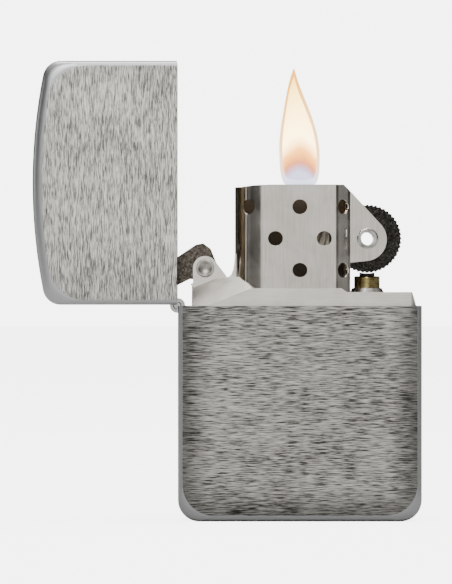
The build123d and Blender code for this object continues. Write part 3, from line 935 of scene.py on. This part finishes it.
@dataclass
class Wick:
    """The twisted wick in the windscreen, frayed and burnt at its top."""

    rise: float
    radius: float
    top: float
    centre: tuple[float, float]
    body: str = "insert"
    strands: int = 7
    turns: float = 3.0
    fibres: int = 46
    seed: int = 11
    route_drop: tuple[tuple[float, float], ...] = field(
        default=(
            (0.0, 0.0), (0.0, -16.0), (-0.5, -20.5), (-8.5, -23.0), (-9.0, -27.0), (-7.0, -32.0),
            (2.0, -36.0),
        )
    )

    def bundle(self) -> bpy.types.Object:
        """Twists a bundle of strands and lays it along the wick's route."""
        strand_radius = self.radius * 0.36
        length = self.rise
        parts = []
        for index in range(self.strands):
            turn = 2 * math.pi * index / (self.strands - 1)
            away = 0.0 if index == self.strands - 1 else self.radius - strand_radius
            deselect()
            bpy.ops.mesh.primitive_cylinder_add(
                vertices=8, radius=strand_radius, depth=length, end_fill_type="TRIFAN",
                location=(length / 2, away * math.cos(turn), away * math.sin(turn)),
                rotation=(0, math.pi / 2, 0),
            )
            parts.append(bpy.context.object)
        deselect()
        for part in parts:
            part.select_set(True)
        bpy.context.view_layer.objects.active = parts[0]
        bpy.ops.object.join()
        rope = bpy.context.object
        bpy.ops.object.transform_apply(location=True, rotation=True, scale=True)
        bpy.ops.object.mode_set(mode="EDIT")
        steps = 70
        for index in range(1, steps):
            bpy.ops.mesh.select_all(action="SELECT")
            bpy.ops.mesh.bisect(plane_co=(length * index / steps, 0, 0), plane_no=(1, 0, 0))
        bpy.ops.object.mode_set(mode="OBJECT")
        twist = rope.modifiers.new("twist", "SIMPLE_DEFORM")
        twist.deform_method = "TWIST"
        twist.deform_axis = "X"
        twist.angle = 2 * math.pi * self.turns
        route = self.route()
        follow = rope.modifiers.new("follow", "CURVE")
        follow.object = route
        follow.deform_axis = "POS_X"
        pick(rope)
        for modifier in list(rope.modifiers):
            bpy.ops.object.modifier_apply(modifier=modifier.name)
        bpy.data.objects.remove(route)
        return rope

    def route(self) -> bpy.types.Object:
        """Draws the line that the wick follows, down through the insert."""
        data = bpy.data.curves.new("wick_route", "CURVE")
        data.dimensions = "3D"
        line = data.splines.new("NURBS")
        line.points.add(len(self.route_drop) - 1)
        for point, (x, drop) in zip(line.points, self.route_drop):
            point.co = (self.centre[0] + x * MM, self.centre[1], self.top + drop * MM, 1.0)
        line.order_u = 3
        line.use_endpoint_u = True
        route = bpy.data.objects.new("wick_route", data)
        bpy.context.scene.collection.objects.link(route)
        return route

    def fray(self) -> list[bpy.types.Object]:
        """Stands a tuft of loose fibres on the wick's top."""
        draw = random.Random(self.seed)
        tuft = []
        for _ in range(self.fibres):
            away = self.radius * 0.9 * math.sqrt(draw.random())
            turn = draw.uniform(0, 2 * math.pi)
            foot = Vector((away * math.cos(turn), away * math.sin(turn), -0.5 * MM))
            foot += Vector((self.centre[0], self.centre[1], self.top))
            lean = Vector((math.cos(turn), math.sin(turn), 0)) * away * 0.45
            lean += Vector((draw.uniform(-0.2, 0.2), draw.uniform(-0.2, 0.2), draw.uniform(1.1, 2.0))) * MM
            thick = draw.uniform(0.06, 0.1) * MM
            half = foot + lean * 0.55 + Vector((draw.uniform(-0.1, 0.1), draw.uniform(-0.1, 0.1), 0)) * MM
            rings = [
                (foot, thick, thick), (half, thick * 0.9, thick * 0.9),
                (foot + lean, thick * 0.3, thick * 0.3),
            ]
            tuft.append(raise_rings(rings, 5))
        return tuft

    def build(self) -> None:
        """Makes the wick and puts it on the insert."""
        rope = self.bundle()
        tuft = self.fray()
        deselect()
        for part in (rope, *tuft):
            part.select_set(True)
        bpy.context.view_layer.objects.active = rope
        bpy.ops.object.join()
        wick = settle(bpy.context.object, "wick_strands")
        bpy.ops.object.shade_smooth()
        finish = CottonFibre(
            "glass_and_cotton_wick", "#e6dfcf", "#b9ae97", fibre_mm=0.2, clump_mm=0.8,
            char_from=self.top - 2.0 * MM, char_to=self.top + 1.5 * MM,
        )
        dress(wick, finish.build())
        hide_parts("wick")
        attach(wick, self.body)


@dataclass
class Flame:
    """The flame that stands on the wick while the lid is open."""

    foot: Vector
    height: float = 18.6 * MM
    width: float = 6.5 * MM
    depth: float = 4.6 * MM
    kept: float = 0.02
    body: str = "insert"
    outline: tuple[tuple[float, float, float], ...] = field(
        default=(
            (0.00, 0.72, 0.00), (0.05, 0.88, 0.00), (0.14, 0.97, -0.01), (0.26, 1.00, -0.02),
            (0.38, 0.97, -0.05), (0.50, 0.85, -0.09), (0.62, 0.67, -0.15), (0.74, 0.47, -0.23),
            (0.85, 0.28, -0.30), (0.94, 0.12, -0.31), (1.00, 0.015, -0.29),
        )
    )

    def shell(self, name: str, share: float, rise: float) -> bpy.types.Object:
        """Draws one teardrop shell of the flame.

        Args:
            name: The piece's name.
            share: Its width and depth, as a share of the flame's.
            rise: How far its foot stands above the flame's foot, in metres.

        Returns:
            The finished shell.
        """
        rings = []
        tall = (self.height - rise) * (0.5 + 0.5 * share)
        for up, wide, lean in self.outline:
            centre = self.foot + Vector((lean * self.width / 2, 0.0, rise + up * tall))
            rings.append((centre, wide * share * self.width / 2, wide * share * self.depth / 2))
        body = raise_rings(rings, 20)
        ease = body.modifiers.new("ease", "SUBSURF")
        ease.levels = 2
        ease.render_levels = 2
        settle(body, name)
        bpy.ops.object.shade_smooth()
        return body

    def build(self) -> None:
        """Makes the pale heart and the yellow mantle round it."""
        low, high = self.foot.z, self.foot.z + self.height
        mantle = FlameGlow(
            "flame_mantle", low, high, strength=3.4,
            stops=(
                (0.04, "#4a5aa8", 0.46), (0.16, "#5c5a9c", 0.40), (0.26, "#c8802c", 0.50),
                (0.36, "#e49c2c", 0.50), (0.62, "#f0a820", 0.62), (0.94, "#f0a41c", 0.84),
            ),
        )
        heart = FlameGlow(
            "flame_heart", low, high, strength=20.0,
            stops=(
                (0.14, "#3c3a58", 0.16), (0.24, "#6a361a", 0.70), (0.34, "#a8703a", 0.86),
                (0.46, "#f6dca0", 0.98), (0.95, "#ffe084", 1.0),
            ),
        )
        for name, share, rise, finish in (
            ("flame_mantle", 1.0, 0.0, mantle), ("flame_heart", 0.84, 1.0 * MM, heart),
        ):
            piece = self.shell(name, share, rise)
            dress(piece, finish.build())
            piece.visible_shadow = False
            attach(piece, self.body)
            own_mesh(piece)


# ---- studio ----------------------------------------------------------------------


@dataclass
class Studio:
    """The pale floor, the white room, the soft lights and the long-lens camera."""

    low: Vector
    high: Vector
    frame_height: float = 90.8 * MM
    aim_shift: tuple[float, float] = (-0.18 * MM, -0.12 * MM)
    lens_distance: float = 0.70
    sensor: float = 36.0
    backdrop: float = 6.0
    bright: float = 1.5
    dim: float = 0.03
    open_from: tuple[float, float] = (0.955, 0.99)
    strip_place: float = 0.46
    strip_half: tuple[float, float] = (0.03, 0.14)
    strip: float = 0.16
    side: float = 2.2
    right_side: float = 0.30
    ceiling: float = 0.9
    left_from: tuple[float, float] = (-0.99, -0.955)
    right_from: tuple[float, float] = (0.90, 0.98)
    ceiling_from: tuple[float, float] = (0.35, 0.75)

    def camera(self) -> None:
        """Stands the camera square in front of the open lighter, level with its middle."""
        middle = (self.low + self.high) / 2
        place = (middle.x + self.aim_shift[0], self.low.y - self.lens_distance, middle.z + self.aim_shift[1])
        bpy.ops.object.camera_add(location=place, rotation=(math.pi / 2, 0, 0))
        camera = bpy.context.object
        camera.data.sensor_width = self.sensor
        camera.data.sensor_fit = "VERTICAL"
        camera.data.sensor_height = self.sensor
        camera.data.lens = self.sensor * self.lens_distance / self.frame_height
        camera.data.clip_start = 0.01
        bpy.context.scene.camera = camera

    def soft_light(self, place: tuple[float, float, float], size: tuple[float, float], power: float) -> None:
        """Hangs one rectangular soft light, turned to face the lighter.

        Args:
            place: Where it hangs, in metres.
            size: Its width and height, in metres.
            power: Its power, in watts.
        """
        target = (self.low + self.high) / 2
        turn = (target - Vector(place)).to_track_quat("-Z", "Y").to_euler()
        bpy.ops.object.light_add(type="AREA", location=place, rotation=turn)
        light = bpy.context.object
        light.data.shape = "RECTANGLE"
        light.data.size = size[0]
        light.data.size_y = size[1]
        light.data.energy = power

    def floor(self) -> None:
        """Lays the pale floor."""
        deselect()
        bpy.ops.mesh.primitive_plane_add(size=8.0, location=(0, 0, self.low.z))
        floor = bpy.context.object
        floor.name = "floor"
        material, tree, shader = new_surface("white_paper_floor")
        shader.inputs["Base Color"].default_value = linear("#c4c4c2")
        shader.inputs["Roughness"].default_value = 0.95
        ray = add_node(tree, "ShaderNodeLightPath").outputs["Is Camera Ray"]
        lift = add_node(
            tree, "ShaderNodeMath", {"operation": "MULTIPLY"}, {0: ray, 1: self.backdrop * 0.8}
        ).outputs[0]
        shader.inputs["Emission Color"].default_value = linear("#ffffff")
        tree.links.new(lift, shader.inputs["Emission Strength"])
        dress(floor, material)
        floor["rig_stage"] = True

    def world(self) -> None:
        """Makes a white room: bright in front, behind and above, dim between, with a lit wall at each side.

        The camera sees plain white; only light and reflections meet the dim parts.
        """
        world = bpy.data.worlds.new("studio")
        bpy.context.scene.world = world
        world.use_nodes = True
        tree = world.node_tree
        tree.nodes.clear()
        way = add_node(tree, "ShaderNodeTexCoord").outputs["Generated"]
        parts = add_node(tree, "ShaderNodeSeparateXYZ", links={0: way})
        ahead = add_node(
            tree, "ShaderNodeMath", {"operation": "ABSOLUTE"}, {0: parts.outputs["Y"]}
        ).outputs[0]
        open_ends = add_node(
            tree, "ShaderNodeMapRange", {"interpolation_type": "SMOOTHSTEP"},
            {
                "Value": ahead, "From Min": self.open_from[0], "From Max": self.open_from[1],
                "To Min": self.dim, "To Max": self.bright,
            },
        ).outputs[0]
        off_strip = add_node(
            tree, "ShaderNodeMath", {"operation": "SUBTRACT"}, {0: ahead, 1: self.strip_place}
        ).outputs[0]
        strip_gap = add_node(tree, "ShaderNodeMath", {"operation": "ABSOLUTE"}, {0: off_strip}).outputs[0]
        strip = add_node(
            tree, "ShaderNodeMapRange", {"interpolation_type": "SMOOTHSTEP"},
            {
                "Value": strip_gap, "From Min": self.strip_half[0], "From Max": self.strip_half[1],
                "To Min": self.strip, "To Max": 0.0,
            },
        ).outputs[0]
        ceiling = add_node(
            tree, "ShaderNodeMapRange", {"interpolation_type": "SMOOTHSTEP"},
            {
                "Value": parts.outputs["Z"], "From Min": self.ceiling_from[0],
                "From Max": self.ceiling_from[1], "To Max": self.ceiling,
            },
        ).outputs[0]
        left = add_node(
            tree, "ShaderNodeMapRange", {"interpolation_type": "SMOOTHSTEP"},
            {
                "Value": parts.outputs["X"], "From Min": self.left_from[0],
                "From Max": self.left_from[1], "To Min": self.side, "To Max": 0.0,
            },
        ).outputs[0]
        right = add_node(
            tree, "ShaderNodeMapRange", {"interpolation_type": "SMOOTHSTEP"},
            {
                "Value": parts.outputs["X"], "From Min": self.right_from[0],
                "From Max": self.right_from[1], "To Max": self.right_side,
            },
        ).outputs[0]
        ends = add_node(tree, "ShaderNodeMath", {"operation": "MAXIMUM"}, {0: right, 1: left}).outputs[0]
        slim = add_node(tree, "ShaderNodeMath", {"operation": "MAXIMUM"}, {0: strip, 1: ends}).outputs[0]
        walls = add_node(tree, "ShaderNodeMath", {"operation": "ADD"}, {0: open_ends, 1: slim}).outputs[0]
        room = add_node(tree, "ShaderNodeMath", {"operation": "MAXIMUM"}, {0: walls, 1: ceiling}).outputs[0]
        felt = add_node(tree, "ShaderNodeBackground", links={"Color": linear("#ffffff"), "Strength": room})
        seen = add_node(
            tree, "ShaderNodeBackground", links={"Color": linear("#ffffff"), "Strength": self.backdrop}
        )
        ray = add_node(tree, "ShaderNodeLightPath")
        blend = add_node(
            tree, "ShaderNodeMixShader",
            links={0: ray.outputs["Is Camera Ray"], 1: felt.outputs[0], 2: seen.outputs[0]},
        )
        add_node(tree, "ShaderNodeOutputWorld", links={"Surface": blend.outputs[0]})

    def build(self) -> None:
        """Sets up everything round the lighter."""
        self.camera()
        self.floor()
        self.world()
        self.soft_light((-0.12, -0.9, 0.45), (0.35, 0.35), 5.0)
        self.soft_light((0.0, -0.05, 0.8), (0.7, 0.7), 9.0)
        LOG.info("studio ready")


def main() -> None:
    """Builds the lighter's looks piece by piece, and logs each."""
    logging.basicConfig(level=logging.INFO, format="%(name)s: %(message)s")
    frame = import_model()
    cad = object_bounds()
    low, high = (Vector(corner) for corner in cad)
    Studio(low, high).build()
    nodes = frame["nodes"]
    Shells(nodes).dress()
    metal = InsertMetal(nodes)
    metal.dress()
    metal.wear()
    Packing(nodes).build()
    wick_low, wick_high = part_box("wick")
    _, screen_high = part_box("windscreen")
    radius = (wick_high[1] - wick_low[1]) / 2
    Wick(rise=WICK_LENGTH, radius=radius, top=wick_high[2], centre=(wick_high[0] - radius, 0.0)).build()
    Flame(foot=Vector((FLAME_X, 0.0, screen_high[2] - FLAME_SINK))).build()


if __name__ == "__main__":
    main()
